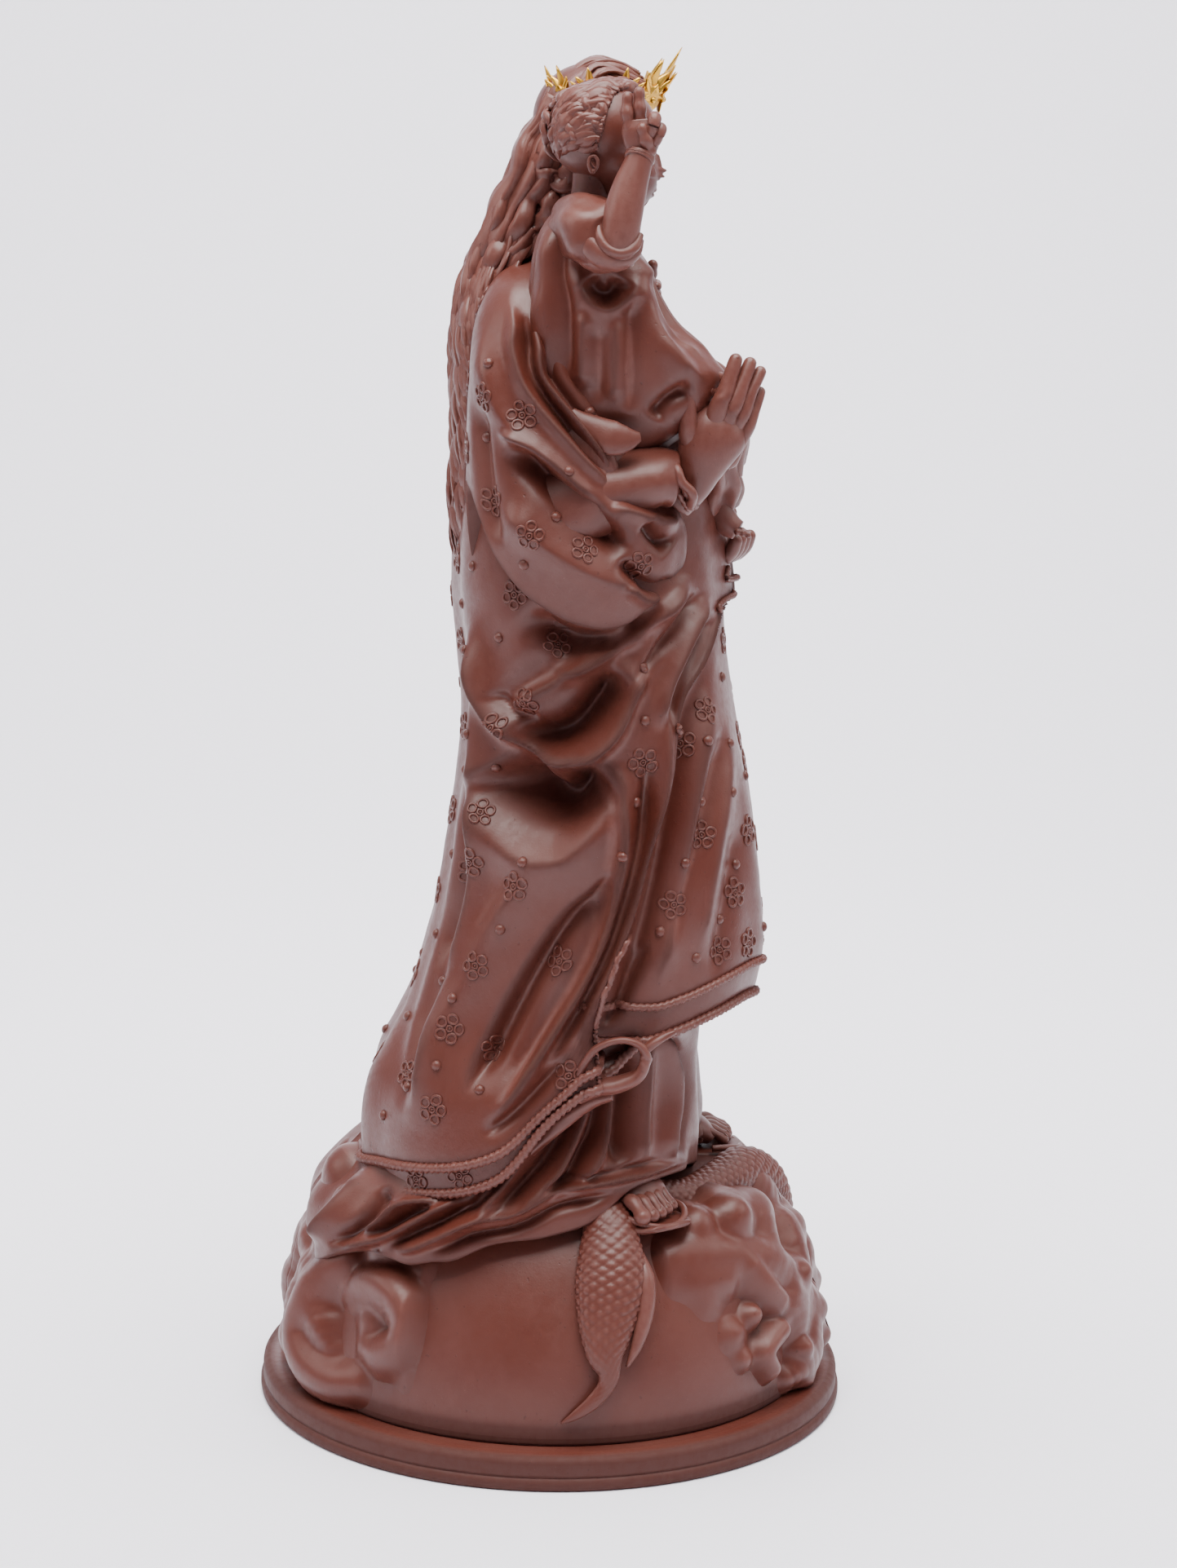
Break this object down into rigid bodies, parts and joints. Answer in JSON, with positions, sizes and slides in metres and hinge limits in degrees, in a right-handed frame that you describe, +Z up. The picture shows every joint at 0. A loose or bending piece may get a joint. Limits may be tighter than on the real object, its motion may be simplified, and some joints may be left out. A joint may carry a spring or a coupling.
{
  "type": "madonna statue",
  "caption": "Standing Madonna with the Child on her arm, on a cloud-wrapped globe and round plinth, with a lift-off gilt crown.",
  "frame": {"origin": "centre of the plinth's underside", "axes": "+Z up; she faces -Y; her right side, with the Child, is -X"},
  "size_m": [0.13, 0.13, 0.2961],
  "materials": {
    "terracotta_paint": "cast resin under satin red-brown paint",
    "gilt": "polished gilt brass",
    "steel": "plain"
  },
  "bodies": {
    "statue": {"plinth": "terracotta_paint", "globe": "terracotta_paint", "cloud_front_right": "terracotta_paint", "cloud_front_left": "terracotta_paint", "cloud_rear_left": "terracotta_paint", "cloud_rear_right": "terracotta_paint", "serpent": "terracotta_paint", "foot_right": "terracotta_paint", "foot_left": "terracotta_paint", "tunic": "terracotta_paint", "mantle": "terracotta_paint", "gown": "terracotta_paint", "torso": "terracotta_paint", "sleeve_right": "terracotta_paint", "sleeve_left": "terracotta_paint", "hand_right": "terracotta_paint", "hand_left": "terracotta_paint", "head": "terracotta_paint", "hair": "terracotta_paint", "child_tunic": "terracotta_paint", "child_head": "terracotta_paint", "child_sleeve_right": "terracotta_paint", "child_arm_right": "terracotta_paint", "child_arm_left": "terracotta_paint", "child_legs": "terracotta_paint", "plinth_screw": "steel", "figure_dowel": "steel", "waist_dowel": "steel", "neck_dowel": "steel", "child_pin": "steel"},
    "lift_off_crown": {"crown": "gilt"}
  },
  "joints": [
    {"name": "crown_lift", "type": "slide", "parent": "statue", "child": "lift_off_crown", "axis": [0, 0, 1], "range_m": [0, 0.03]}
  ]
}
